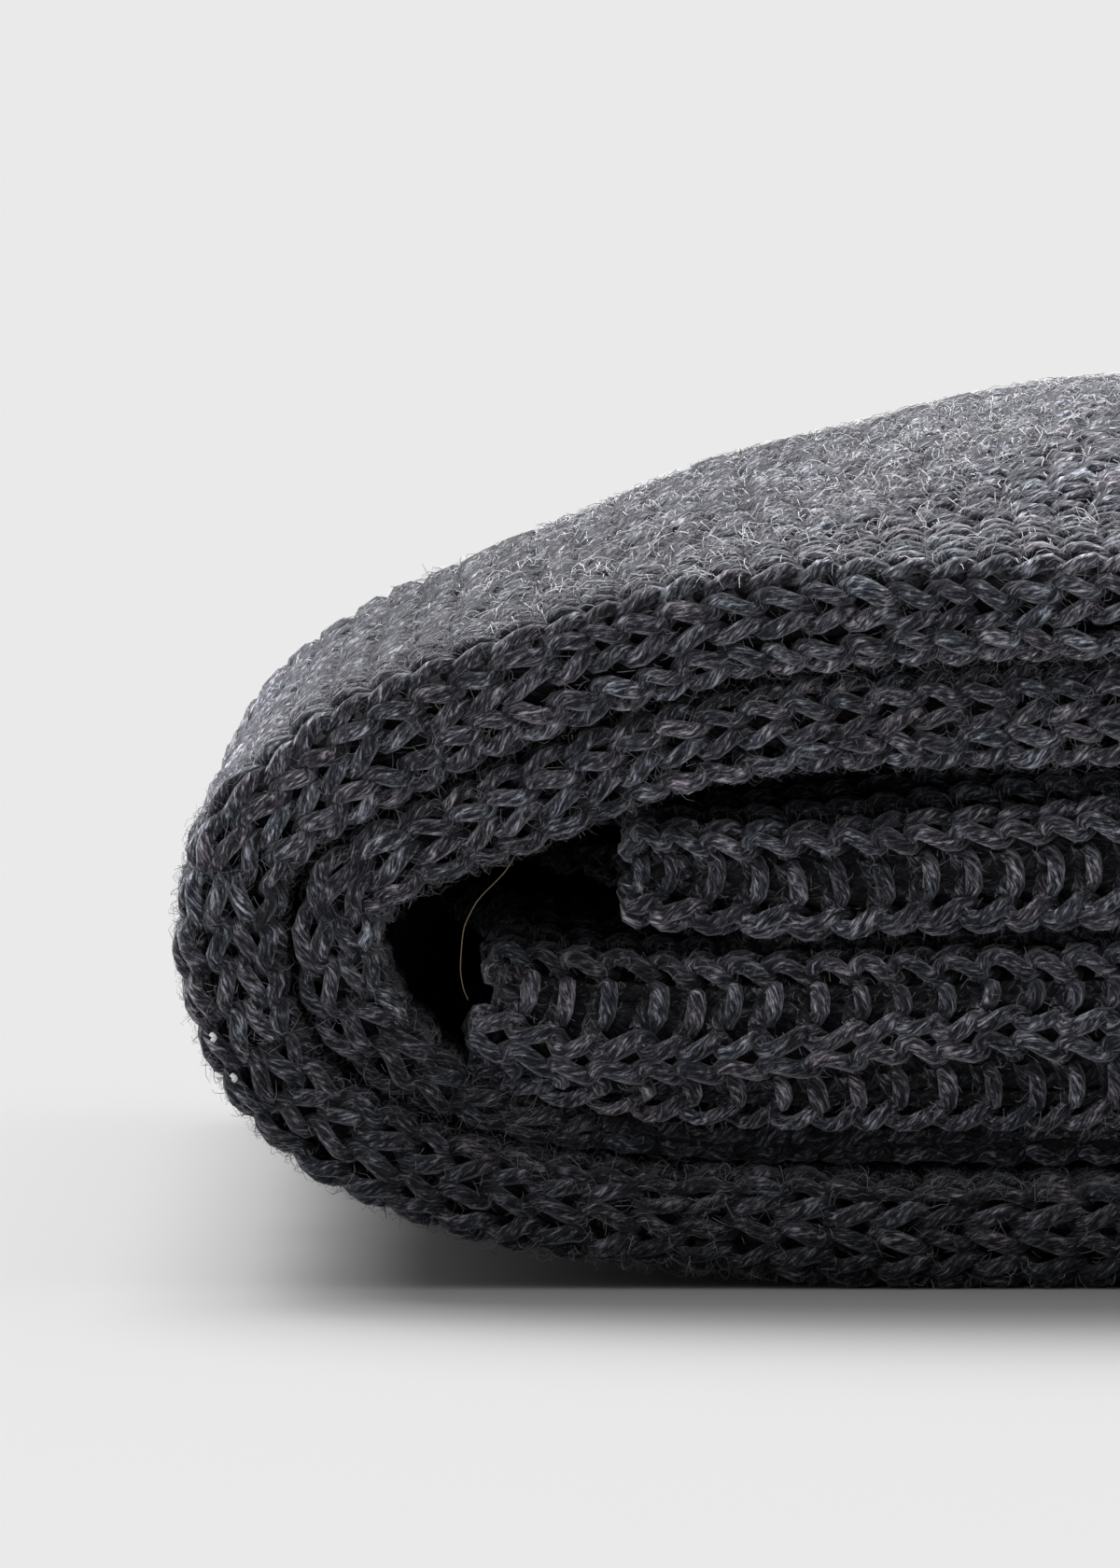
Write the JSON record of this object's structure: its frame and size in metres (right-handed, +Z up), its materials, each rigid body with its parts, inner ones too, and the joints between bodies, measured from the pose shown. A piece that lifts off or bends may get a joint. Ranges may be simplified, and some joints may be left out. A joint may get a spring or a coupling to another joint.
{
  "type": "folded pair of socks",
  "caption": "Folded pair of chunky heathered wool crew socks with ribbed cuffs, laid together and lying flat as a soft domed stack.",
  "frame": {"origin": "on the surface that the folded pair lies on, under the middle of its outline", "axes": "+X along the folded pair, from the left bend to the toes; +Y across the socks; +Z up"},
  "size_m": [0.1459, 0.09, 0.0378],
  "materials": {
    "outer_wool": "heathered charcoal wool knit, fuzzy",
    "inner_wool": "heathered charcoal wool knit, fuzzy"
  },
  "bodies": {
    "root": {"outer_sock": "outer_wool", "inner_sock": "inner_wool"}
  },
  "joints": []
}
